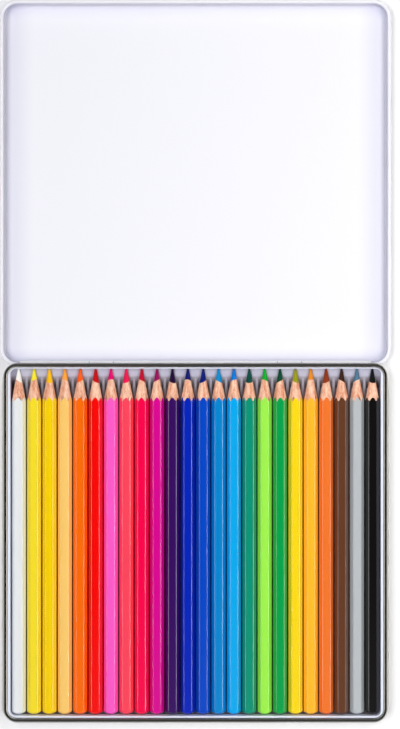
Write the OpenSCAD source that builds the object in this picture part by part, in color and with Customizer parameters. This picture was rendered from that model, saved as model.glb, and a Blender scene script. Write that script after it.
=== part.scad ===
// Flat hinged tin with a formed tray and one row of sharpened hexagonal colored pencils.
// The lid is swung right back and lies flat on the table behind the base.
// +X is to the right, +Y runs from the front of the base to the hinge and the lid, +Z is up.
// The origin is the middle of the base's rim, on the underside of the base.

/* [Pencils] */
// Length of a pencil from its point to its butt
pencil_len = 175.7; // [120:0.1:200]
// Width of a pencil across its flats
pencil_af = 6.6; // [6:0.1:8]
// Rounding of a pencil's six long edges
pencil_edge_r = 1.2; // [0.4:0.1:2]
// Gap between the edges of two pencils that lie side by side
pencil_gap = 0.57; // [0.2:0.01:1.5]
// Diameter of the colored lead
lead_d = 3; // [2:0.1:4]
// How far a lead runs off the middle of its casing
lead_shift = 0.18; // [0:0.01:0.3]
// Gap of the glue line round the lead
lead_fit = 0.02; // [0.01:0.01:0.05]
// Angle between the sharpened cone and the pencil's axis
cone_angle = 10.8; // [9:0.1:18]
// Radius of the blunted point
point_r = 0.5; // [0.1:0.05:0.6]
// Radius of the rounded butt
butt_r = 4.9; // [4.6:0.1:12]
// Depth of the dipped lacquer that closes the butt
butt_cap = 2; // [1:0.1:6]

/* [Tray] */
// Thickness of the tray's plastic sheet
tray_sheet = 0.4; // [0.25:0.01:0.5]
// Room between a pencil's ends and the tray's end walls
end_gap = 0.2; // [0.2:0.01:2]
// Room between the outermost pencils and the tray's side walls
side_gap = 0.43; // [0.2:0.01:2]
// Clearance between a ridge and the pencils beside it
ridge_gap = 0.3; // [0.2:0.01:0.5]
// Width of the level crest of a ridge
ridge_crest = 1.5; // [0.6:0.05:1.8]
// Length of the level trench under the points
trench_len = 3.6; // [2:0.1:12]
// Inner corner radius of the tray
tray_corner_r = 2.8; // [2.6:0.05:3.2]
// Width of the tray's flange along the sides
flange_side = 1.35; // [1.3:0.05:6]
// Width of the tray's flange at the front
flange_front = 1; // [0.8:0.05:6]
// Width of the tray's flange at the hinge
flange_rear = 0.7; // [0.7:0.05:6]
// Depth of the flange's top below the top of the base's bead
flange_drop = 1.4; // [1.2:0.1:1.8]
// Gap between the flange's edge and the base's wall
flange_fit = 0.1; // [0.05:0.01:0.12]

/* [Base] */
// Thickness of the tinplate
tin = 0.28; // [0.2:0.01:0.35]
// Height of the base to the top of its bead
base_h = 10; // [9.6:0.1:14]
// Diameter of the outward bead round the base's rim
bead_d = 2; // [1.6:0.1:2.4]
// How far round the bead is rolled, in degrees
bead_turn = 300; // [270:5:320]
// Corner radius of the rim, on the centre line of the bead
corner_r = 5.8; // [4.5:0.1:6]
// How far the lower body steps out past the bead
step_out = 1.4; // [0.4:0.1:2.5]
// Rounding of the lower body's bottom edge
bottom_r = 1.2; // [0.6:0.1:1.6]
// Rounding of the lower body's shoulder
shoulder_r = 0.8; // [0.5:0.1:1]

/* [Lid] */
// Clearance between the lid's skirt and the base's bead
lid_gap = 0.3; // [0.28:0.01:0.6]
// Clearance between the bead's top and the closed lid
lid_head = 0.72; // [0.4:0.01:2]
// Rounding of the lid's top edge
lid_edge_r = 1.2; // [0.6:0.1:2]
// Diameter of the outward curl round the skirt
curl_d = 1.9; // [1.5:0.1:2.1]
// How far round the curl is rolled, in degrees
curl_turn = 300; // [270:5:320]
// Clearance between the closed lid's curl and the base's shoulder
curl_gap = 0.35; // [0.25:0.01:0.6]
// Diameter of a snap dimple
dimple_d = 3.2; // [2:0.1:3.4]
// Depth of a snap dimple
dimple_depth = 0.25; // [0.1:0.01:0.25]
// Distance of the front dimples from the middle
front_dimple_x = 72.8; // [20:0.1:80]
// Distance of the side dimples from the hinge
side_dimple_y = 36; // [20:0.5:120]

/* [Hinge] */
// Diameter of the hinge wire
wire_d = 1.2; // [1:0.05:1.4]
// Distance from the wire's end to the lid's round corner
wire_inset = 1.5; // [1:0.1:20]
// Clearance of the wire in the base's two eyes
wire_fit = 0.05; // [0.02:0.01:0.09]
// Clearance of the wire in the lid's barrel
barrel_fit = 0.02; // [0.01:0.01:0.05]
// Distance of the wire behind the bead
hinge_out = 0.35; // [0.3:0.01:0.6]
// Width of a hinge tab
tab_w = 12; // [6:0.1:24]
// Distance of a tab's middle from the middle of the tin
tab_x = 47.8; // [20:0.1:70]
// Gap at each side of a tab in the lid's notch
tab_gap = 0.3; // [0.2:0.05:1]
// Height of the notch above the wire's middle
notch_h = 1.7; // [1.5:0.1:2.4]

/* [Hidden] */
// Name, lacquer and lead of each pencil, from left to right
PENCILS = [
    ["white", [0.93, 0.94, 0.93], [0.97, 0.96, 0.92]],
    ["lemon", [0.98, 0.88, 0.17], [0.98, 0.92, 0.15]],
    ["yellow", [0.99, 0.83, 0.02], [0.98, 0.75, 0.05]],
    ["peach", [0.99, 0.80, 0.42], [0.99, 0.65, 0.24]],
    ["orange", [0.99, 0.43, 0.02], [0.98, 0.38, 0.08]],
    ["red", [0.98, 0.04, 0.03], [0.78, 0.02, 0.05]],
    ["pink", [0.98, 0.36, 0.78], [0.88, 0.02, 0.43]],
    ["coral", [0.98, 0.28, 0.36], [0.92, 0.08, 0.30]],
    ["carmine", [0.98, 0.02, 0.30], [0.75, 0.02, 0.15]],
    ["magenta", [0.86, 0.02, 0.57], [0.60, 0.02, 0.35]],
    ["violet", [0.22, 0.05, 0.38], [0.12, 0.02, 0.20]],
    ["ultramarine", [0.02, 0.15, 0.72], [0.02, 0.05, 0.42]],
    ["blue", [0.02, 0.28, 0.77], [0.02, 0.08, 0.45]],
    ["azure", [0.02, 0.52, 0.81], [0.02, 0.52, 0.78]],
    ["sky", [0.02, 0.67, 0.94], [0.02, 0.46, 0.82]],
    ["teal", [0.03, 0.58, 0.46], [0.02, 0.27, 0.23]],
    ["lime", [0.62, 0.94, 0.30], [0.03, 0.66, 0.16]],
    ["green", [0.03, 0.63, 0.29], [0.02, 0.28, 0.18]],
    ["ochre", [0.98, 0.85, 0.08], [0.58, 0.58, 0.08]],
    ["gold", [0.98, 0.73, 0.17], [0.90, 0.55, 0.12]],
    ["rust", [0.94, 0.46, 0.18], [0.55, 0.20, 0.06]],
    ["brown", [0.39, 0.24, 0.15], [0.22, 0.12, 0.07]],
    ["grey", [0.72, 0.74, 0.75], [0.31, 0.47, 0.57]],
    ["black", [0.11, 0.10, 0.11], [0.06, 0.06, 0.06]]
];
PENCIL_LAST = len(PENCILS) - 1;
function casing_node(i) = str(PENCILS[i][0], "_pencil_casing");
function lead_node(i) = str(PENCILS[i][0], "_pencil_lead");
$fn = 64;

TIN = [0.80, 0.80, 0.78];
WHITE_LACQUER = [0.95, 0.95, 0.98];
TRAY_PLASTIC = [0.86, 0.87, 0.91];
STEEL = [0.62, 0.62, 0.63];
CUT = 0.5; // how far a cutting shape runs past what it cuts
EDGE_STEPS = 4; // facets of each rounded edge of a pencil
SIDES = [0:3]; // rear, left, front and right run of an outline, and the corner before each

// Pencils: corners of the hexagon point to the sides, so that a flat faces up
edge_centre = (pencil_af / 2 - pencil_edge_r) / cos(30);
pencil_half_w = edge_centre + pencil_edge_r;
pencil_pitch = 2 * pencil_half_w + pencil_gap;
turned_r = (pencil_half_w + butt_r) / 2;
cone_len = (turned_r - point_r) / tan(cone_angle);
lead_turn = 137.5; // each lead runs off in its own direction

// Tray: the cavity holds the row of pencils
cavity_hw = PENCIL_LAST * pencil_pitch / 2 + pencil_half_w + side_gap;
cavity_len = pencil_len + 2 * end_gap;
rim_hw = cavity_hw + flange_side + bead_d / 2;
rim_hd = (cavity_len + flange_front + flange_rear + bead_d) / 2;
cavity_front = bead_d / 2 + flange_front - rim_hd;
cavity_rear = cavity_front + cavity_len;
tray_floor = tin + tray_sheet;
flange_top = base_h - flange_drop;
pencil_z = tray_floor + pencil_af / 2;
// Half width of the room between two pencils, at a height above the tray's floor
function ridge_half(h) =
    (pencil_pitch - pencil_af * tan(30)) / 2 - ridge_gap / cos(30) - h * tan(30);
ridge_h = (ridge_half(0) - ridge_crest / 2) / tan(30);
ridge_len = cavity_len - 1.5 * trench_len; // the ledge at the butts is half as long as the trench

// Lid and hinge: the wire lies half way up the closed tin, so that the open lid lies flat
curl_r = curl_d / 2;
bead_r = bead_d / 2;
wire_r = wire_d / 2;
bead_z = base_h - bead_r;
lid_top = base_h + lid_head + tin;
hinge_z = lid_top / 2;
hinge_y = rim_hd + bead_r + hinge_out;
shoulder_z = hinge_z - curl_r - curl_gap;
barrel_r = wire_r + barrel_fit + tin;
eye_r = wire_r + wire_fit + tin;
lid_grow = bead_r + lid_gap;
curl_end = hinge_z + curl_r;
dimple_z = (curl_end + lid_top - lid_edge_r) / 2;
dimple_r = (pow(dimple_d / 2, 2) + pow(dimple_depth, 2)) / (2 * dimple_depth);
notch_w = tab_w + 2 * tab_gap;
notch_reach = 2 * barrel_r;

// An outline is [left, right, front, rear, corner radius]
function grown(o, g) = [o[0] - g, o[1] + g, o[2] - g, o[3] + g, o[4] + g];
RIM = [-rim_hw, rim_hw, -rim_hd, rim_hd, corner_r];
NECK_INSIDE = grown(RIM, -bead_r);
LID_INSIDE = grown(RIM, lid_grow);
wire_len = 2 * (LID_INSIDE[1] - LID_INSIDE[4] - wire_inset);
// The lower body steps out at the front and sides, and is flush with the neck at the hinge
BODY = [
    -rim_hw - bead_r - step_out,
    rim_hw + bead_r + step_out,
    -rim_hd - bead_r - step_out,
    rim_hd - bead_r + tin,
    corner_r + bead_r + step_out
];

// Filled outline with four round corners, from height z0 to z1
module slab(o, z0, z1) {
    translate([0, 0, z0])
    linear_extrude(z1 - z0) {
        translate([o[0] + o[4], o[2]])
        square([o[1] - o[0] - 2 * o[4], o[3] - o[2]]);
        translate([o[0], o[2] + o[4]])
        square([o[1] - o[0], o[3] - o[2] - 2 * o[4]]);
        for (x = [o[0] + o[4], o[1] - o[4]], y = [o[2] + o[4], o[3] - o[4]])
            translate([x, y])
            circle(o[4]);
    }
}

// Carries a section of bent sheet round an outline: x in the section points outwards
module along(o, runs = SIDES) {
    x = [o[1] - o[4], o[0] + o[4], o[0] + o[4], o[1] - o[4]];
    y = [o[3] - o[4], o[3] - o[4], o[2] + o[4], o[2] + o[4]];
    for (k = SIDES)
        translate([x[k], y[k], 0])
        rotate(90 * k)
        rotate_extrude(angle = 90)
        translate([o[4], 0])
        children();
    for (k = runs) {
        next = (k + 1) % 4;
        translate([x[next], y[next], 0])
        rotate(90 * next)
        translate([o[4], 0, 0])
        rotate([90, 0, 0])
        linear_extrude(abs(x[next] - x[k]) + abs(y[next] - y[k]))
        children();
    }
}

// Section of sheet bent round a centre, from angle a0 to a1
module bend(r, t, a0, a1) {
    steps = ceil((a1 - a0) / 45);
    reach = 2 * r;
    intersection() {
        difference() {
            circle(r);
            circle(r - t);
        }
        polygon(concat([[0, 0]], [
            for (i = [0:steps])
                let (a = a0 + (a1 - a0) * i / steps)
                reach * [cos(a), sin(a)]
        ]));
    }
}

// Bottom edge and wall of the lower body
module body_section() {
    translate([-bottom_r, bottom_r])
    bend(bottom_r, tin, -90, 0);
    translate([-tin, bottom_r])
    square([tin, shoulder_z - shoulder_r - bottom_r]);
}

// Neck and the bead rolled outwards from it, whose free edge turns back under it
module neck_section() {
    translate([-bead_r, shoulder_z - tin])
    square([tin, bead_z - shoulder_z + tin]);
    translate([0, bead_z])
    bend(bead_r, tin, 180 - bead_turn, 180);
}

// Step between the lower body and the neck, open towards the inside of the neck
module shoulder() {
    difference() {
        union() {
            along(BODY)
            translate([-shoulder_r, shoulder_z - shoulder_r])
            bend(shoulder_r, tin, 0, 90);
            slab(grown(BODY, -shoulder_r), shoulder_z - tin, shoulder_z);
        }
        slab(NECK_INSIDE, shoulder_z - shoulder_r - CUT, shoulder_z + CUT);
    }
}

// Tongue of the rear wall, bent out and curled up round the hinge wire
module hinge_tab() {
    arm = hinge_y - BODY[3] + tin / 2;
    translate([-tab_w / 2, hinge_y, hinge_z])
    rotate([90, 0, 90])
    linear_extrude(tab_w) {
        bend(eye_r, tin, -90, 180);
        translate([-arm, -eye_r])
        square([arm, tin]);
    }
}

module base_pan() {
    color(TIN) {
        slab(grown(BODY, -bottom_r), 0, tin);
        along(BODY)
        body_section();
        shoulder();
        along(RIM)
        neck_section();
        // The rear wall runs straight up from the bottom edge to the bead
        translate([BODY[0] + BODY[4], BODY[3] - tin, bottom_r])
        cube([BODY[1] - BODY[0] - 2 * BODY[4], tin, bead_z - bottom_r]);
        for (side = [-1, 1])
            translate([side * tab_x, 0, 0])
            hinge_tab();
    }
}

// Section of a ridge pressed up from the tray's floor
module ridge_section(top, bottom, inset) {
    polygon([
        [-ridge_half(bottom) + inset, bottom],
        [-ridge_half(top) + inset, top],
        [ridge_half(top) - inset, top],
        [ridge_half(bottom) - inset, bottom]
    ]);
}

module tray() {
    wall = [-cavity_hw, cavity_hw, cavity_front, cavity_rear, tray_corner_r];
    color(TRAY_PLASTIC)
    difference() {
        union() {
            slab(grown(NECK_INSIDE, -flange_fit), flange_top - tray_sheet, flange_top);
            difference() {
                slab(grown(wall, tray_sheet), tin, flange_top);
                slab(wall, tray_floor, flange_top + CUT);
            }
            ridges(0, ridge_len, ridge_h, 0, 0);
        }
        slab(wall, flange_top - 2 * tray_sheet, flange_top + CUT);
        ridges(
            tray_sheet,
            ridge_len - 2 * tray_sheet,
            ridge_h - tray_sheet,
            -tray_sheet - CUT,
            tray_sheet / cos(30)
        );
    }
}

// One ridge between each two pencils, from the end of the trench towards the butts
module ridges(start, length, top, bottom, inset) {
    for (i = [1:PENCIL_LAST])
        translate([
            (i - (PENCIL_LAST + 1) / 2) * pencil_pitch,
            cavity_rear - trench_len - start,
            tray_floor
        ])
        rotate([90, 0, 0])
        linear_extrude(length)
        ridge_section(top, bottom, inset);
}

// Rounded top edge and the wall below it, down to the curl
module skirt_section() {
    translate([tin - lid_edge_r, lid_top - lid_edge_r])
    bend(lid_edge_r, tin, 0, 90);
    translate([0, curl_end])
    square([tin, lid_top - lid_edge_r - curl_end]);
}

// Curl rolled outwards from the skirt, whose free edge turns back over it
module curl_section() {
    translate([0, hinge_z])
    square([tin, curl_r]);
    translate([curl_r, hinge_z])
    bend(curl_r, tin, 180, 180 + curl_turn);
}

// Straight rear edge of the skirt, rolled full round to a barrel on the wire
module barrel_edge() {
    low = hinge_z + barrel_r - tin / 2;
    translate([-wire_len / 2, hinge_y, hinge_z])
    rotate([90, 0, 90])
    linear_extrude(wire_len)
    difference() {
        circle(barrel_r);
        circle(barrel_r - tin);
    }
    translate([-wire_len / 2, LID_INSIDE[3], low])
    cube([wire_len, tin, curl_end - low]);
}

// Places what follows at each snap dimple, with x pointing out of the skirt
module at_dimples() {
    for (side = [-1, 1]) {
        translate([side * front_dimple_x, LID_INSIDE[2], dimple_z])
        rotate(-90)
        children();
        translate([side * LID_INSIDE[1], hinge_y - side_dimple_y, dimple_z])
        rotate(90 - 90 * side)
        children();
    }
}

// Cap of a ball pressed into the skirt from outside, as far as reach past the skirt's inner face
module dimple_form(r, reach) {
    intersection() {
        translate([dimple_r - dimple_depth, 0, 0])
        sphere(r);
        translate([-dimple_d / 2, -dimple_d, -dimple_d])
        cube([dimple_d / 2 + reach, 2 * dimple_d, 2 * dimple_d]);
    }
}

module closed_lid() {
    difference() {
        union() {
            slab(grown(LID_INSIDE, tin - lid_edge_r), lid_top - tin, lid_top);
            along(LID_INSIDE)
            skirt_section();
            along(LID_INSIDE, runs = [1:3])
            curl_section();
            barrel_edge();
            at_dimples()
            dimple_form(dimple_r, tin / 2);
        }
        at_dimples()
        dimple_form(dimple_r - tin, 1.2 * tin);
        for (side = [-1, 1])
            translate([
                side * tab_x - notch_w / 2,
                hinge_y - notch_reach,
                hinge_z - notch_reach
            ])
            cube([notch_w, 2 * notch_reach, notch_reach + notch_h]);
    }
}

module lid() {
    color(WHITE_LACQUER)
    translate([0, hinge_y, hinge_z])
    rotate([180, 0, 0])
    translate([0, -hinge_y, -hinge_z])
    closed_lid();
}

module hinge_wire() {
    color(STEEL)
    translate([-wire_len / 2, hinge_y, hinge_z])
    rotate([0, 90, 0])
    cylinder(h = wire_len, r = wire_r);
}

// Lays a pencil in its place in the row, butt to the front and point to the hinge
module in_row(i) {
    translate([(i - PENCIL_LAST / 2) * pencil_pitch, cavity_front + end_gap, pencil_z])
    rotate([-90, 0, 0])
    children();
}

// Round form that sharpening and dipping give a pencil: cone, shank and domed butt
module turned_form() {
    rotate_extrude() {
        intersection() {
            translate([0, butt_r])
            circle(butt_r);
            square([turned_r, butt_r]);
        }
        polygon([
            [0, butt_r],
            [turned_r, butt_r],
            [turned_r, pencil_len - cone_len],
            [point_r, pencil_len],
            [0, pencil_len]
        ]);
    }
}

// Hexagon with round corners, one corner pointing along x
module hexagon() {
    polygon([
        for (corner = [0:60:300], step = [0:EDGE_STEPS])
            let (turn = corner - 30 + 60 * step / EDGE_STEPS)
            edge_centre * [cos(corner), sin(corner)] + pencil_edge_r * [cos(turn), sin(turn)]
    ]);
}

module lead_bore(i, r, top) {
    translate(lead_shift * [cos(lead_turn * i), sin(lead_turn * i), 0])
    translate([0, 0, butt_cap])
    cylinder(h = top - butt_cap, r = r);
}

module casing(i) {
    color(PENCILS[i][1])
    in_row(i)
    difference() {
        intersection() {
            turned_form();
            translate([0, 0, -CUT])
            linear_extrude(pencil_len + 2 * CUT)
            hexagon();
        }
        lead_bore(i, lead_d / 2, pencil_len + CUT);
    }
}

module lead(i) {
    color(PENCILS[i][2])
    in_row(i)
    intersection() {
        turned_form();
        lead_bore(i, lead_d / 2 - lead_fit, pencil_len);
    }
}

base_pan();
tray();
lid();
hinge_wire();
for (i = [0:PENCIL_LAST]) {
    casing(i);
    lead(i);
}
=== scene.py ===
"""Flat hinged tin of sharpened colored pencils, laid open on a white table."""

import math

import bpy
from mathutils import Matrix, Vector


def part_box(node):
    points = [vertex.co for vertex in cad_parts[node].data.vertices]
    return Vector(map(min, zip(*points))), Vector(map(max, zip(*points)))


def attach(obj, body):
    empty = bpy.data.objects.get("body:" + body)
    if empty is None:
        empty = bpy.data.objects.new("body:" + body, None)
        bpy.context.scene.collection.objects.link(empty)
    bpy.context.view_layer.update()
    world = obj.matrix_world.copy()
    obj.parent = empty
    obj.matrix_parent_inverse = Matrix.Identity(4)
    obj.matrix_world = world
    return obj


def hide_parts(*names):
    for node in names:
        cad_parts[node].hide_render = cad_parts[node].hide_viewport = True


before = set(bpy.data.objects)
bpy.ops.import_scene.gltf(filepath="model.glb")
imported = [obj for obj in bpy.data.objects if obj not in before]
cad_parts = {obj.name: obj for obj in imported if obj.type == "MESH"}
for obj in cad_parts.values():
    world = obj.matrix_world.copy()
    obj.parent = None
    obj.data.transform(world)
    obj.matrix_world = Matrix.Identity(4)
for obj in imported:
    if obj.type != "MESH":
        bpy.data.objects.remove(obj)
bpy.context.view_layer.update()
MM = 0.001

# Base pan
# Drawn tinplate, bare and bright: bottom, stepped wall and a bead rolled outwards round the rim.
# Two tongues of the rear wall are curled round the hinge wire. The CAD solid has its true shape.

PAN_LOW, PAN_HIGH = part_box("base_pan")
BODY_TOP = PAN_HIGH.z - 2.4 * MM
BEAD_FOOT = PAN_HIGH.z - 1.6 * MM
RIM_REAR = -PAN_LOW.y - 1.3 * MM
TONGUE_BLEND = 0.1 * MM
BODY_ROUGHER = 0.34
BODY_DULLER = 0.51


def srgb(red, green, blue):
    """Colour of a Principled socket from the values that a picture editor shows."""
    light = []
    for value in (red / 255, green / 255, blue / 255):
        light.append(value / 12.92 if value <= 0.04045 else ((value + 0.055) / 1.055) ** 2.4)
    return (*light, 1.0)


def node_group(name, values, results, kind="ShaderNodeTree"):
    """Empty group with named inputs and outputs, and its two end nodes."""
    group = bpy.data.node_groups.new(name, kind)
    for direction, sockets in (("INPUT", values), ("OUTPUT", results)):
        for socket, content in sockets.items():
            group.interface.new_socket(name=socket, in_out=direction, socket_type="NodeSocket" + content)
    return group, group.nodes.new("NodeGroupInput"), group.nodes.new("NodeGroupOutput")


def add(tree, kind, links=(), **settings):
    """Shader or geometry node with its settings, and links given as (input, value or socket)."""
    node = tree.nodes.new(kind)
    for setting, value in settings.items():
        setattr(node, setting, value)
    for socket, value in links:
        if isinstance(value, bpy.types.NodeSocket):
            tree.links.new(value, node.inputs[socket])
        else:
            node.inputs[socket].default_value = value
    return node


def maths(tree, operation, *values, **settings):
    """Result of a Math node on these values or sockets."""
    return add(tree, "ShaderNodeMath", enumerate(values), operation=operation, **settings).outputs[0]


def between(tree, value, start, end, low=0.0, high=1.0, kind="LINEAR"):
    """Number that goes from low to high while a value goes from start to end."""
    sockets = [("Value", value), ("From Min", start), ("From Max", end), ("To Min", low), ("To Max", high)]
    return add(tree, "ShaderNodeMapRange", sockets, interpolation_type=kind).outputs[0]


def noise(tree, place, scale, detail):
    """Noise of this scale and number of octaves at a place."""
    sockets = [("Vector", place), ("Scale", scale), ("Detail", detail)]
    return add(tree, "ShaderNodeTexNoise", sockets).outputs[0]


def mixed(tree, share, first, second, kind="MIX"):
    """Two colours mixed, with this share of the second."""
    sockets = [("Factor", share), (6, first), (7, second)]
    return add(tree, "ShaderNodeMix", sockets, data_type="RGBA", blend_type=kind).outputs[2]


def place_on_piece(tree):
    """X, Y and Z of a point on the piece, as sockets."""
    place = add(tree, "ShaderNodeTexCoord")
    return add(tree, "ShaderNodeSeparateXYZ", [(0, place.outputs["Object"])]).outputs


def principled(name, **sockets):
    """New material, its tree and its Principled BSDF, with these values on the shader's sockets."""
    material = bpy.data.materials.new(name)
    material.use_nodes = True
    surface = material.node_tree.nodes["Principled BSDF"]
    for socket, value in sockets.items():
        surface.inputs[socket.replace("_", " ")].default_value = value
    return material, material.node_tree, surface


def finish_group(name, stretch, lines, clouds):
    """Group for a sheet or coat: fine lines along one axis, and soft clouds of handling marks."""
    group, given, out = node_group(
        name,
        {"Colour": "Color", "Shade": "Float", "Roughness": "Float", "Marks": "Float"},
        {"Colour": "Color", "Roughness": "Float", "Height": "Float"},
    )
    place = add(group, "ShaderNodeTexCoord").outputs["Object"]
    lined = add(group, "ShaderNodeMapping", [("Vector", place), ("Scale", stretch)])
    line = noise(group, lined.outputs[0], scale=lines, detail=3.0)
    cloud = noise(group, place, scale=clouds, detail=4.0)
    shade = given.outputs["Shade"]
    lighter = maths(group, "MULTIPLY_ADD", maths(group, "ADD", line, cloud), shade, 1.0)
    level = maths(group, "SUBTRACT", lighter, shade)
    tinted = mixed(group, 1.0, given.outputs["Colour"], level, "MULTIPLY")
    rough = maths(group, "MULTIPLY_ADD", cloud, given.outputs["Marks"], given.outputs["Roughness"])
    group.links.new(tinted, out.inputs["Colour"])
    group.links.new(rough, out.inputs["Roughness"])
    group.links.new(line, out.inputs["Height"])
    return group


def coat(name, group, colour, shade, roughness, marks, bump, **sockets):
    """Material whose colour, roughness and relief come from a finish group."""
    material, tree, surface = principled(name, **sockets)
    finish = tree.nodes.new("ShaderNodeGroup")
    finish.node_tree = group
    given = {"Colour": colour, "Shade": shade, "Roughness": roughness, "Marks": marks}
    for socket, value in given.items():
        finish.inputs[socket].default_value = value
    relief = add(tree, "ShaderNodeBump", [("Height", finish.outputs["Height"]), ("Distance", bump)])
    tree.links.new(finish.outputs["Colour"], surface.inputs["Base Color"])
    tree.links.new(finish.outputs["Roughness"], surface.inputs["Roughness"])
    tree.links.new(relief.outputs[0], surface.inputs["Normal"])
    return material


def shader_of(material):
    """A material's tree and its Principled BSDF."""
    return material.node_tree, material.node_tree.nodes["Principled BSDF"]


def feed(surface, socket):
    """Socket that feeds this input of a shader."""
    return surface.inputs[socket].links[0].from_socket


def dress(name, material):
    """Gives a CAD node its material, in each of its slots."""
    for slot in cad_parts[name].material_slots:
        slot.material = material


tinplate = coat(
    "bright_tinplate",
    finish_group("rolled_tin", stretch=(400.0, 6.0, 400.0), lines=4.0, clouds=60.0),
    colour=srgb(206, 205, 201),
    shade=0.06,
    roughness=0.02,
    marks=0.05,
    bump=0.0005 * MM,
)
# painted shade: the bead is bare metal in a darker colour, so that a dark line shows along the rim; the
# body below it is duller, and the tongues keep their white coat
tree, surface = shader_of(tinplate)
place = place_on_piece(tree)
body = between(tree, place["Z"], BODY_TOP, BEAD_FOOT, low=1.0, high=0.0)
tongue = between(tree, place["Y"], RIM_REAR - TONGUE_BLEND, RIM_REAR + TONGUE_BLEND)
bare = maths(tree, "MULTIPLY_ADD", body, -BODY_DULLER, 1.0)
metal = maths(tree, "SUBTRACT", bare, tongue, use_clamp=True)
rough = maths(tree, "MULTIPLY_ADD", body, BODY_ROUGHER, feed(surface, "Roughness"))
# the darker colour on the bead is painted shade
tin = mixed(tree, body, srgb(136, 135, 132), feed(surface, "Base Color"))
tree.links.new(metal, surface.inputs["Metallic"])
tree.links.new(rough, surface.inputs["Roughness"])
tree.links.new(mixed(tree, tongue, tin, srgb(243, 243, 250)), surface.inputs["Base Color"])
dress("base_pan", tinplate)

# Hinge wire
# Drawn steel wire that lies in the lid's rolled rear edge and in the base's two eyes. It is loose in
# both, and nothing else holds it.

wire_steel = coat(
    "drawn_steel",
    finish_group("drawn_wire", stretch=(8.0, 900.0, 900.0), lines=3.0, clouds=90.0),
    colour=srgb(172, 172, 174),
    shade=0.12,
    roughness=0.22,
    marks=0.15,
    bump=0.02 * MM,
    Metallic=1.0,
)
dress("hinge_wire", wire_steel)

# Lid
# Tinplate with white stoved lacquer on both faces, pressed with a rounded edge, an outward curl
# round three sides and the rear corners, a barrel on the wire and four snap dimples.

LID_LOW, LID_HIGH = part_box("lid")
PANEL_FACE = LID_LOW.z + 0.05 * MM
PANEL_INSIDE = LID_LOW.z + 0.2 * MM
CURL_FOOT = LID_HIGH.z - 1.2 * MM
WALL_TOP = LID_HIGH.z - 2.0 * MM
WALL_INSET = 2 * MM
# how far the painted wall shade reaches from the sides and from the front and rear
SIDE_SHADE_BORDER = 18 * MM
END_SHADE_BORDER = 10 * MM

white_lacquer = coat(
    "white_lacquer",
    finish_group("stoved_lacquer", stretch=(1.0, 1.0, 1.0), lines=1400.0, clouds=14.0),
    colour=srgb(241, 241, 246),
    shade=0.008,
    roughness=0.24,
    marks=0.10,
    bump=0.001 * MM,
    Specular_IOR_Level=0.0,
    Coat_Weight=0.3,
    Coat_Roughness=0.08,
)
# painted shade: the coat is made a little greyer towards the drawn edges, where the walls shade it, but not
# on the flat outside or on the curl
tree, surface = shader_of(white_lacquer)
lacquer = feed(surface, "Base Color")
place = place_on_piece(tree)
above_face = between(tree, place["Z"], PANEL_FACE, PANEL_INSIDE)
below_curl = between(tree, place["Z"], CURL_FOOT, WALL_TOP)
drawn = maths(tree, "MULTIPLY", above_face, below_curl)
for axis, low, high, border, grey in (
    ("X", LID_LOW.x, LID_HIGH.x, SIDE_SHADE_BORDER, (0.80, 0.80, 0.86, 1.0)),
    ("Y", LID_LOW.y, LID_HIGH.y, END_SHADE_BORDER, (0.87, 0.87, 0.93, 1.0)),
):
    reach = (high - low) / 2
    aside = maths(tree, "ABSOLUTE", maths(tree, "SUBTRACT", place[axis], (low + high) / 2))
    # painted shade that deepens towards each wall
    wall_shade = between(tree, aside, reach - border, reach - WALL_INSET, kind="SMOOTHSTEP")
    lacquer = mixed(tree, maths(tree, "MULTIPLY", wall_shade, drawn), lacquer, grey, "MULTIPLY")
tree.links.new(lacquer, surface.inputs["Base Color"])
dress("lid", white_lacquer)

# Tray
# Thin milky plastic sheet, formed over a mould with a flange, round folds, a ledge under the points
# and 23 hollow ribs that keep the pencils apart. It is pressed into the base.

TRAY_LOW, TRAY_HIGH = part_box("tray")
SHEET = 0.4 * MM
PENCIL_COUNT = 24
PITCH = 7.822 * MM
CAVITY_HALF = TRAY_HIGH.x - 1.25 * MM
CAVITY_FRONT = TRAY_LOW.y + 0.9 * MM
CAVITY_REAR = TRAY_HIGH.y - 0.68 * MM
CAVITY_R = 2.8 * MM
FLANGE_R = 4.7 * MM
FLANGE_BEVEL = 0.1 * MM
LIP_R = 0.2 * MM
FOOT_R = 0.6 * MM
FLOOR = TRAY_LOW.z + SHEET
LEDGE = 3.7 * MM
LEDGE_RISE = 1.92 * MM
LEDGE_BEVEL = 0.1 * MM
LEDGE_SLOPE = 0.11
LEDGE_RAMP = 6.5 * MM
LEDGE_SUNK = 0.1 * MM
LEDGE_SPARE = 9 * MM
RIB_START = CAVITY_REAR - LEDGE + 0.3 * MM
RIB_LEN = RIB_START - CAVITY_FRONT - 1.8 * MM
RIB_NARROW = 0.80
# depth over which the painted shade in the tray fades out
SHADE_DEPTH = 5 * MM


def outline(left, right, front, rear, radius, z, turns=8):
    """Points round a rectangle with round corners, always as many, so that outlines join."""
    corners = (
        (right - radius, rear - radius),
        (left + radius, rear - radius),
        (left + radius, front + radius),
        (right - radius, front + radius),
    )
    points = []
    for quarter, (x, y) in enumerate(corners):
        for step in range(turns + 1):
            angle = math.radians(90 * quarter + 90 * step / turns)
            points.append((x + radius * math.cos(angle), y + radius * math.sin(angle), z))
    return points


def loft(name, rings, capped=True):
    """Mesh through rings of as many points. Its first and last ring are filled where it is capped."""
    count = len(rings[0])
    faces = []
    for a in range(0, (len(rings) - 1) * count, count):
        for i in range(count):
            j = (i + 1) % count
            faces.append((a + i, a + j, a + count + j, a + count + i))
    if capped:
        faces.append(tuple(range(count))[::-1])
        faces.append(tuple(range((len(rings) - 1) * count, len(rings) * count)))
    mesh = bpy.data.meshes.new(name)
    mesh.from_pydata([point for ring in rings for point in ring], [], faces)
    mesh.validate()
    return mesh


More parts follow.
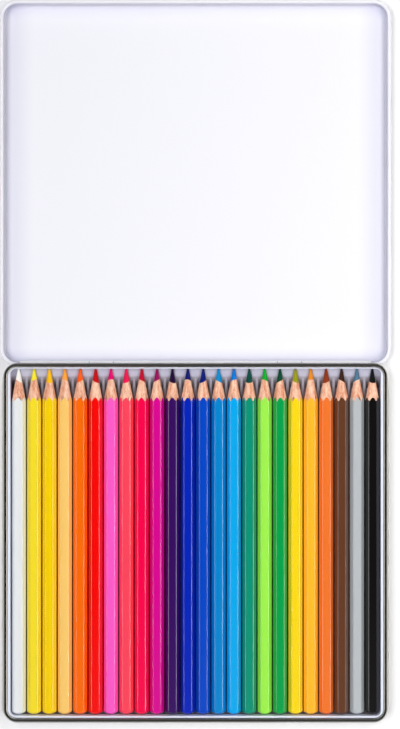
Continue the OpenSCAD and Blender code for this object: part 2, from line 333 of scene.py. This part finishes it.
def fold(centre_g, centre_z, radius, start, end, steps=5):
    """Growth and height of points on a fold of the sheet."""
    turns = [math.radians(start + (end - start) * i / steps) for i in range(steps + 1)]
    return [(centre_g + radius * math.cos(a), centre_z + radius * math.sin(a)) for a in turns]


def cavity_ring(growth, z):
    """Outline of the cavity, grown to all sides."""
    sides = (-CAVITY_HALF - growth, CAVITY_HALF + growth)
    return outline(*sides, CAVITY_FRONT - growth, CAVITY_REAR + growth, CAVITY_R + growth, z)


def flange_ring(inset, z):
    """Outline of the flange, drawn in from all sides."""
    sides = (TRAY_LOW.x + inset, TRAY_HIGH.x - inset)
    return outline(*sides, TRAY_LOW.y + inset, TRAY_HIGH.y - inset, FLANGE_R - inset, z)


def ledge_ring(inset, rise, slope):
    """Outline of the ledge under the points, which rises a little towards the rear wall."""
    front = CAVITY_REAR - LEDGE + inset
    side = max(inset, 0.0)
    sides = (side - CAVITY_HALF, CAVITY_HALF - side)
    # the outline is drawn too long and cut off at the front, so that it has no round corners there
    plan = outline(*sides, front - LEDGE_SPARE, CAVITY_REAR - side, CAVITY_R - side, FLOOR)
    return [(x, max(y, front), z + rise + slope * (max(y, front) - front)) for x, y, z in plan]


def rib_rings():
    """Cross sections of a rib, from its rear end to its front: a smooth hump with sloping ends."""
    # one side of the hump: distance from its middle and height, in millimetres
    side = [(1.60, 0.0), (1.40, 0.40), (1.17, 0.80), (0.95, 1.17), (0.78, 1.38), (0.55, 1.50), (0.25, 1.56)]
    section = side + [(0.0, 1.57)] + [(-x, z) for x, z in reversed(side)]
    length = RIB_LEN / MM
    # along the rib: millimetres from its rear end, and share of its full height
    ends = [(0.0, 0.0), (0.05, 1.10), (2.0, 1.10), (5.0, 0.88), (8.0, 0.66), (11.0, 0.56)]
    ends += [(length - 1.5, 0.56), (length - 1.0, 0.53), (length - 0.35, 0.30), (length, 0.0)]
    return [[(x * RIB_NARROW * MM, -y * MM, z * rise * MM) for x, z in section] for y, rise in ends]


def put(name, data):
    """New object in the scene, made of this mesh, lamp or camera."""
    thing = bpy.data.objects.new(name, data)
    bpy.context.scene.collection.objects.link(thing)
    return thing


def colour_stops(tree, value, stops):
    """Colour that runs through stops, given as a value and a colour."""
    scale = add(tree, "ShaderNodeValToRGB", [(0, value)])
    elements = scale.color_ramp.elements
    for element, (spot, colour) in zip(elements, (stops[0], stops[-1])):
        element.position = spot
        element.color = colour
    for spot, colour in stops[1:-1]:
        elements.new(spot).color = colour
    return scale.outputs[0]


def apply_tree(thing, tree, **values):
    """Runs a Geometry Nodes tree on an object and keeps its result as a plain mesh."""
    modifier = thing.modifiers.new(tree.name, "NODES")
    modifier.node_group = tree
    for item in tree.interface.items_tree:
        if item.in_out == "INPUT" and item.name in values:
            modifier[item.identifier] = values[item.name]
    graph = bpy.context.evaluated_depsgraph_get()
    mesh = bpy.data.meshes.new_from_object(thing.evaluated_get(graph), depsgraph=graph)
    thing.modifiers.clear()
    thing.data = mesh


flange_under = TRAY_HIGH.z - SHEET
shell_rings = [cavity_ring(g, z) for g, z in fold(-FOOT_R, FLOOR + FOOT_R, FOOT_R, -90, 0)]
shell_rings += [cavity_ring(g, z) for g, z in fold(LIP_R, TRAY_HIGH.z - LIP_R, LIP_R, 180, 90)]
shell_rings += [flange_ring(FLANGE_BEVEL, TRAY_HIGH.z), flange_ring(0.0, TRAY_HIGH.z - FLANGE_BEVEL)]
shell_rings += [flange_ring(0.0, flange_under), flange_ring(FLANGE_BEVEL, flange_under)]
shell_rings += [cavity_ring(SHEET + FLANGE_BEVEL / 2, flange_under), cavity_ring(SHEET, FLOOR + FOOT_R)]
shell_rings += [cavity_ring(g, z) for g, z in fold(-FOOT_R, FLOOR + FOOT_R, FOOT_R + SHEET, 0, -90)]
ledge_rings = [
    ledge_ring(-LEDGE_RAMP, -LEDGE_SUNK, 0.0),
    ledge_ring(0.0, LEDGE_RISE, LEDGE_SLOPE),
    ledge_ring(LEDGE_BEVEL, LEDGE_RISE + LEDGE_SLOPE * LEDGE_BEVEL, LEDGE_SLOPE),
]

tray_plastic = coat(
    "white_tray_plastic",
    finish_group("formed_plastic", stretch=(1.0, 1.0, 1.0), lines=900.0, clouds=30.0),
    colour=srgb(234, 238, 251),
    shade=0.02,
    roughness=0.30,
    marks=0.12,
    bump=0.01 * MM,
    Specular_IOR_Level=0.2,
    Coat_Weight=0.2,
)
# painted shade: the plastic is made darker the deeper it lies, where walls, ribs and pencils shade it, and
# warmer there as from light off the cedar
tree, surface = shader_of(tray_plastic)
height = between(tree, place_on_piece(tree)["Z"], FLOOR, FLOOR + SHADE_DEPTH)
painted_depth_shade = colour_stops(
    tree,
    height,
    (
        (0.0, (0.30, 0.27, 0.27, 1.0)),
        (0.20, (0.34, 0.31, 0.31, 1.0)),
        (0.34, (0.44, 0.40, 0.42, 1.0)),
        (0.40, (0.64, 0.60, 0.65, 1.0)),
        (0.60, (0.85, 0.85, 0.85, 1.0)),
        (1.0, (1.0, 1.0, 1.0, 1.0)),
    ),
)
plastic = mixed(tree, 1.0, feed(surface, "Base Color"), painted_depth_shade, "MULTIPLY")
tree.links.new(plastic, surface.inputs["Base Color"])

ribs, given, out = node_group(
    "ribs_between_pencils",
    {
        "Shell": "Geometry",
        "Ledge": "Object",
        "Rib": "Object",
        "Count": "Int",
        "First": "Vector",
        "Pitch": "Float",
        "Plastic": "Material",
    },
    {"Tray": "Geometry"},
    "GeometryNodeTree",
)
step = add(ribs, "ShaderNodeCombineXYZ", [("X", given.outputs["Pitch"])])
row = add(
    ribs,
    "GeometryNodeMeshLine",
    [
        ("Count", given.outputs["Count"]),
        ("Start Location", given.outputs["First"]),
        ("Offset", step.outputs[0]),
    ],
)
pattern = add(ribs, "GeometryNodeObjectInfo", [("Object", given.outputs["Rib"])])
placed = add(
    ribs,
    "GeometryNodeInstanceOnPoints",
    [("Points", row.outputs[0]), ("Instance", pattern.outputs["Geometry"])],
)
real = add(ribs, "GeometryNodeRealizeInstances", [(0, placed.outputs[0])])
shelf = add(ribs, "GeometryNodeObjectInfo", [("Object", given.outputs["Ledge"])])
joined = add(ribs, "GeometryNodeJoinGeometry")
for formed in (given.outputs["Shell"], shelf.outputs["Geometry"], real.outputs[0]):
    ribs.links.new(formed, joined.inputs[0])
smooth = add(ribs, "GeometryNodeSetShadeSmooth", [(0, joined.outputs[0])])
painted = add(
    ribs,
    "GeometryNodeSetMaterial",
    [("Geometry", smooth.outputs[0]), ("Material", given.outputs["Plastic"])],
)
ribs.links.new(painted.outputs[0], out.inputs["Tray"])

ledge = put("tray_ledge", loft("tray_ledge", ledge_rings))
rib = put("tray_rib", loft("tray_rib", rib_rings(), capped=False))
tray_object = put("formed_tray", loft("tray_shell", shell_rings))
apply_tree(
    tray_object,
    ribs,
    Ledge=ledge,
    Rib=rib,
    Count=PENCIL_COUNT - 1,
    First=((1 - PENCIL_COUNT / 2) * PITCH, RIB_START, FLOOR),
    Pitch=PITCH,
    Plastic=tray_plastic,
)
bpy.data.objects.remove(rib)
bpy.data.objects.remove(ledge)
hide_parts("tray")
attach(tray_object, "base")

# Pencil casings
# Cedar turned and planed to a hexagon with round edges, lacquered and dipped, and sharpened to a
# cone. The sharpener cuts scallops into the lacquer, with a thin slanting edge of colour.

LACQUERS = {
    "white": (235, 238, 237),
    "lemon": (250, 225, 43),
    "yellow": (253, 212, 2),
    "peach": (254, 205, 110),
    "orange": (254, 109, 4),
    "red": (250, 6, 4),
    "pink": (254, 92, 200),
    "coral": (253, 70, 92),
    "carmine": (250, 2, 75),
    "magenta": (218, 4, 145),
    "violet": (56, 12, 96),
    "ultramarine": (2, 38, 185),
    "blue": (2, 72, 197),
    "azure": (4, 134, 207),
    "sky": (2, 171, 240),
    "teal": (7, 148, 117),
    "lime": (158, 240, 77),
    "green": (6, 161, 74),
    "ochre": (250, 216, 22),
    "gold": (253, 187, 43),
    "rust": (240, 118, 45),
    "brown": (100, 60, 38),
    "grey": (183, 189, 191),
    "black": (15, 13, 14),
}
PENCIL_LEN = 175.7 * MM
HALF_FLATS = 3.3 * MM
EDGE_R = 1.2 * MM
EDGE_CENTRE = (HALF_FLATS - EDGE_R) / math.cos(math.radians(30))
CONE = math.tan(math.radians(10.8))
POINT_R = 0.5 * MM
BUTT_R = 4.9 * MM
BUTT_CAP = 2.0 * MM
DOME_SHARES = (0.02, 0.25, 0.5, 0.72, 0.88, 0.96)
DIP_SHARE = 0.992
DIP_RISE = 0.02 * MM
DIP_ROUND = 0.28 * MM
FLAT_RINGS = (60 * MM, 120 * MM)
BORE_R = 1.7 * MM
BORE_LIP = 1 * MM
BORE_SHIFT = 0.18 * MM
BORE_TURN = math.radians(137.5)
LACQUER_EDGE = 0.08 * MM
# waves of the lacquer's ragged end: height, number round the pencil, and turn from one pencil to the next
RAGGED_WAVES = ((0.10 * MM, 3, 1.7), (0.06 * MM, 7, 2.9))
EDGE_STEPS = 6
FLAT_STEPS = 7
BUTT_Y = CAVITY_FRONT + 0.2 * MM
AXIS_Z = FLOOR + HALF_FLATS
# rings of a casing, counted from its butt: where its flats end, where its lacquer ends, and the
# mouth of its bore
FLATS_END, LACQUER_END, MOUTH = 10, 11, 15


def hexagon_columns():
    """Points round a pencil's middle, in x and z, with round edges and a flat on top."""
    columns = []
    for corner in range(0, 360, 60):
        centre = Vector((math.cos(math.radians(corner)), math.sin(math.radians(corner))))
        for step in range(EDGE_STEPS + 1):
            turn = math.radians(corner - 30 + 60 * step / EDGE_STEPS)
            columns.append(centre * EDGE_CENTRE + Vector((math.cos(turn), math.sin(turn))) * EDGE_R)
        start = columns[-1]
        along = Vector((-centre.y, centre.x))
        along.rotate(Matrix.Rotation(math.radians(30), 2))
        for step in range(1, FLAT_STEPS):
            columns.append(start + along * EDGE_CENTRE * step / FLAT_STEPS)
    return columns


COLUMNS = hexagon_columns()


def butt_y(radius):
    """Distance from the butt's end of a point on its dome."""
    return BUTT_R - math.sqrt(BUTT_R**2 - radius**2)


def cone_y(radius):
    """Distance from the butt's end of a point on the sharpened cone."""
    return PENCIL_LEN - (radius - POINT_R) / CONE


def bore_points(number, radius):
    """Points on the cone, round the bore or the lead in it, which run a little off the middle."""
    turn = BORE_TURN * number
    shift = Vector((math.cos(turn), -math.sin(turn))) * BORE_SHIFT
    points = []
    for column in COLUMNS:
        ahead = column.normalized().dot(shift)
        reach = ahead + math.sqrt(ahead**2 - shift.length_squared + radius**2)
        points.append((column.normalized() * reach, cone_y(reach)))
    return points


def lacquer_end(number, column, turn):
    """Point on the cone where the lacquer ends in a ragged edge."""
    ragged = sum(height * math.sin(waves * turn + shift * number) for height, waves, shift in RAGGED_WAVES)
    y = cone_y(column.length) + LACQUER_EDGE + ragged
    return column.normalized() * (POINT_R + (PENCIL_LEN - y) * CONE), y


def rings_between(first, second, shares):
    """Rings at these shares of the way from one ring to another."""
    pairs = list(zip(first, second))
    return [[(a.lerp(b, share), p + (q - p) * share) for (a, p), (b, q) in pairs] for share in shares]


def casing_rings(number):
    """Rings of points from the butt to the mouth of the bore and back down the bore."""
    rings = []
    for share in DOME_SHARES:
        rings.append([(c * share, butt_y(c.length * share)) for c in COLUMNS])
    # the dip rounds the edge between the dome and the flats
    rings.append([(c * DIP_SHARE, butt_y(c.length) - DIP_RISE) for c in COLUMNS])
    rings.append([(c, butt_y(c.length) + DIP_ROUND) for c in COLUMNS])
    rings += [[(c, y) for c in COLUMNS] for y in FLAT_RINGS]
    rings.append([(c, cone_y(c.length)) for c in COLUMNS])
    painted = [lacquer_end(number, c, 2 * math.pi * i / len(COLUMNS)) for i, c in enumerate(COLUMNS)]
    mouth = bore_points(number, BORE_R)
    rings += [painted, *rings_between(painted, mouth, (0.3, 0.6, 0.85)), mouth]
    rings.append([(c, y - BORE_LIP) for c, y in mouth])
    rings.append([(c, BUTT_CAP) for c, y in mouth])
    return rings


def pencil_part(name, number, rings):
    """Closed mesh in its pencil's place, through rings that run from the butt towards the point."""
    x = (number - (PENCIL_COUNT - 1) / 2) * PITCH
    mesh = loft(name, [[(x + c.x, BUTT_Y + y, AXIS_Z + c.y) for c, y in ring] for ring in rings])
    mesh.flip_normals()
    for face in mesh.polygons:
        face.use_smooth = True
    return put(name, mesh)


def sharp_ring(mesh, ring):
    """Marks the edges of one ring as sharp, so that its two faces keep their own shading."""
    wanted = range(ring * len(COLUMNS), (ring + 1) * len(COLUMNS))
    for edge in mesh.edges:
        if edge.vertices[0] in wanted and edge.vertices[1] in wanted:
            edge.use_edge_sharp = True


def cedar():
    """Bare cedar of the cones: long grain in two scales over a warm pale ground."""
    material, tree, surface = principled("bare_cedar", Roughness=0.62)
    place = add(tree, "ShaderNodeTexCoord").outputs["Object"]
    grain = add(tree, "ShaderNodeMapping", [("Vector", place), ("Scale", (1.0, 0.05, 1.0))]).outputs[0]
    fine = noise(tree, grain, scale=3200.0, detail=4.0)
    broad = noise(tree, grain, scale=700.0, detail=2.0)
    dark = maths(tree, "MULTIPLY", maths(tree, "ADD", fine, broad), 0.5)
    colour = colour_stops(tree, dark, ((0.36, srgb(214, 126, 88)), (0.60, srgb(255, 214, 184))))
    relief = add(tree, "ShaderNodeBump", [("Height", fine), ("Distance", 0.03 * MM)])
    tree.links.new(colour, surface.inputs["Base Color"])
    tree.links.new(relief.outputs[0], surface.inputs["Normal"])
    return material


bare_cedar = cedar()
pencil_lacquer = finish_group("pencil_lacquer", stretch=(1.0, 0.2, 1.0), lines=1600.0, clouds=45.0)

for number, (name, colour) in enumerate(LACQUERS.items()):
    casing = pencil_part(name + "_casing", number, casing_rings(number))
    lacquer = coat(
        name + "_lacquer",
        pencil_lacquer,
        colour=srgb(*colour),
        shade=0.03,
        roughness=0.16,
        marks=0.08,
        bump=0.0007 * MM,
        Specular_IOR_Level=0.0,
        Coat_Weight=1.0,
        Coat_Roughness=0.05,
        Coat_IOR=1.7,
    )
    casing.data.materials.append(lacquer)
    casing.data.materials.append(bare_cedar)
    for face in casing.data.polygons:
        face.material_index = int(face.index >= LACQUER_END * len(COLUMNS))
    # the last face but one fills the first ring, which is the middle of the lacquered butt
    casing.data.polygons[-2].material_index = 0
    sharp_ring(casing.data, FLATS_END)
    sharp_ring(casing.data, MOUTH)
    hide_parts(name + "_pencil_casing")
    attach(casing, name + "_pencil")

# Pencil leads
# Waxy coloured cores, glued into the bores of the casings and sharpened with them. Each point is a
# little blunt.

CORES = {
    "white": (248, 246, 238),
    "lemon": (250, 235, 50),
    "yellow": (250, 190, 20),
    "peach": (255, 165, 60),
    "orange": (255, 95, 20),
    "red": (200, 0, 10),
    "pink": (230, 0, 110),
    "coral": (235, 20, 80),
    "carmine": (190, 0, 40),
    "magenta": (150, 0, 90),
    "violet": (30, 2, 50),
    "ultramarine": (2, 14, 105),
    "blue": (2, 22, 115),
    "azure": (2, 140, 200),
    "sky": (2, 120, 210),
    "teal": (2, 70, 60),
    "lime": (4, 170, 40),
    "green": (2, 70, 45),
    "ochre": (150, 150, 20),
    "gold": (230, 140, 30),
    "rust": (140, 50, 15),
    "brown": (56, 32, 18),
    "grey": (80, 120, 145),
    "black": (14, 14, 14),
}
LEAD_FIT = 0.02 * MM
BLUNT_R = 0.58 * MM
# rings of the blunt point: radius, and distance from the tip
BLUNT_RINGS = ((0.50 * MM, 0.18 * MM), (0.38 * MM, 0.07 * MM), (0.20 * MM, 0.01 * MM))
# the ring of a lead where its cone starts, counted from its foot
LEAD_CONE = 1


def lead_rings(number):
    """Rings of points from the lead's foot to its blunt point."""
    mouth = bore_points(number, BORE_R - LEAD_FIT)
    blunt = [(c.normalized() * BLUNT_R, cone_y(BLUNT_R)) for c in COLUMNS]
    rings = [[(c, BUTT_CAP) for c, y in mouth], mouth]
    rings += [*rings_between(mouth, blunt, (0.25, 0.5, 0.75)), blunt]
    for radius, below_tip in BLUNT_RINGS:
        rings.append([(c.normalized() * radius, PENCIL_LEN - below_tip) for c in COLUMNS])
    return rings


waxy_lead = finish_group("waxy_lead", stretch=(0.4, 3.0, 0.4), lines=3000.0, clouds=400.0)

for number, (name, colour) in enumerate(CORES.items()):
    lead = pencil_part(name + "_lead", number, lead_rings(number))
    wax = coat(
        name + "_wax",
        waxy_lead,
        colour=srgb(*colour),
        shade=0.10,
        roughness=0.38,
        marks=0.15,
        bump=0.03 * MM,
        Specular_IOR_Level=0.25,
    )
    lead.data.materials.append(wax)
    sharp_ring(lead.data, LEAD_CONE)
    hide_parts(name + "_pencil_lead")
    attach(lead, name + "_pencil")

# Table
# A white table, which keeps the tin's shadow. Well away from the tin it runs into the white of the
# room for the camera and for gloss, so that a low view shows no far edge.

TABLE_HALF = 3.0
TABLE_Z = -0.02 * MM
TABLE_GLOW = 0.10
FADE_START = 0.32
FADE_END = 0.85

table_mesh = bpy.data.meshes.new("table")
corners = ((-1, -1), (1, -1), (1, 1), (-1, 1))
table_mesh.from_pydata([(x * TABLE_HALF, y * TABLE_HALF, TABLE_Z) for x, y in corners], [], [(0, 1, 2, 3)])
table = put("table", table_mesh)
paper, tree, surface = principled("white_table", Roughness=0.9, Base_Color=(0.9, 0.9, 0.9, 1.0))
path = add(tree, "ShaderNodeLightPath").outputs
seen = maths(tree, "MAXIMUM", path["Is Camera Ray"], path["Is Glossy Ray"])
glow = add(tree, "ShaderNodeEmission", [("Strength", TABLE_GLOW)])
lifted = add(tree, "ShaderNodeAddShader", [(0, surface.outputs[0]), (1, glow.outputs[0])])
near_tin = add(tree, "ShaderNodeMixShader", [(0, seen), (1, surface.outputs[0]), (2, lifted.outputs[0])])
spot = add(tree, "ShaderNodeTexCoord").outputs["Object"]
away = add(tree, "ShaderNodeVectorMath", [(0, spot)], operation="LENGTH").outputs["Value"]
outer = between(tree, away, FADE_START, FADE_END, kind="SMOOTHSTEP")
far_share = maths(tree, "MULTIPLY", outer, seen)
white = add(tree, "ShaderNodeEmission", [("Strength", 1.0)])
whole = add(tree, "ShaderNodeMixShader", [(0, far_share), (1, near_tin.outputs[0]), (2, white.outputs[0])])
tree.links.new(whole.outputs[0], tree.nodes["Material Output"].inputs["Surface"])
table_mesh.materials.append(paper)

# Lamps and room
# A broad lamp on the left and a narrow one on the right light the tin. Gloss sees two strips low over
# the table instead, and soft grey towards the front and the rear. The camera sees a white room.

LAMP_Y = 90 * MM
STRIP_EDGE = 0.06


def softbox(name, tilt, distance, width, length, power, colour):
    """Area light over the tin's middle, tilted to the left or right of straight up."""
    lamp = bpy.data.lights.new(name, "AREA")
    lamp.shape = "RECTANGLE"
    lamp.size = width
    lamp.size_y = length
    lamp.energy = power
    lamp.color = colour
    angle = math.radians(tilt)
    thing = put(name, lamp)
    thing.location = (distance * math.sin(angle), LAMP_Y, distance * math.cos(angle))
    thing.rotation_euler = (0.0, angle, 0.0)
    thing.visible_glossy = False


softbox("left_softbox", tilt=-23, distance=2.0, width=0.9, length=1.6, power=27.3, colour=(0.97, 0.97, 1.0))
softbox("right_softbox", tilt=30, distance=0.6, width=0.2, length=1.0, power=2.93, colour=(1.0, 0.99, 0.97))

world = bpy.data.worlds.new("studio")
bpy.context.scene.world = world
world.use_nodes = True
room = world.node_tree
way = add(room, "ShaderNodeTexCoord").outputs["Generated"]
parts = add(room, "ShaderNodeSeparateXYZ", [(0, way)]).outputs
slant = maths(room, "DIVIDE", parts["X"], parts["Z"])


def strip(low, high, strength):
    """Strip light that runs from front to rear, where x over z is from low to high."""
    edge = (high - low) * STRIP_EDGE
    rise = between(room, slant, low - edge, low + edge)
    fall = between(room, slant, high + edge, high - edge)
    return maths(room, "MULTIPLY", maths(room, "MULTIPLY", rise, fall), strength)


left_strip = strip(low=-12.0, high=-4.2, strength=9.0)
right_strip = strip(low=4.2, high=12.0, strength=15.0)
strips = maths(room, "ADD", left_strip, right_strip)
grey = between(room, maths(room, "ABSOLUTE", parts["Y"]), start=0.1, end=0.7, low=0.03, high=0.36)
gloss = maths(room, "ADD", strips, grey)
# the ceiling is dark, so that no light falls straight down between the pencils
ring = between(room, parts["Z"], start=0.75, end=0.40, low=0.0, high=0.18)
path = add(room, "ShaderNodeLightPath").outputs
first = maths(room, "LESS_THAN", path["Diffuse Depth"], 0.5)
mirror = maths(room, "MULTIPLY", first, path["Is Glossy Ray"])
sent = add(room, "ShaderNodeMix", [("Factor", mirror), ("A", ring), ("B", gloss)])
strength = maths(room, "MAXIMUM", sent.outputs[0], path["Is Camera Ray"])
tint = mixed(room, path["Is Diffuse Ray"], (1.0, 1.0, 1.0, 1.0), (0.80, 0.80, 1.0, 1.0))
room.links.new(tint, room.nodes["Background"].inputs["Color"])
room.links.new(strength, room.nodes["Background"].inputs["Strength"])

# Camera
# It looks straight down at the middle of the open tin, and its picture is as high as FRAME_HEIGHT
# in the plane of the rim.

FRAME_HEIGHT = 368.7 * MM
CAMERA_HEIGHT = 950 * MM
MIDDLE_X = 2.28 * MM
MIDDLE_Y = 90.2 * MM
RIM_Z = 10 * MM

camera = put("camera", bpy.data.cameras.new("camera"))
camera.location = (MIDDLE_X, MIDDLE_Y, CAMERA_HEIGHT)
camera.data.lens = camera.data.sensor_width * (CAMERA_HEIGHT - RIM_Z) / FRAME_HEIGHT
bpy.context.scene.camera = camera
bpy.context.scene.view_settings.view_transform = "Standard"
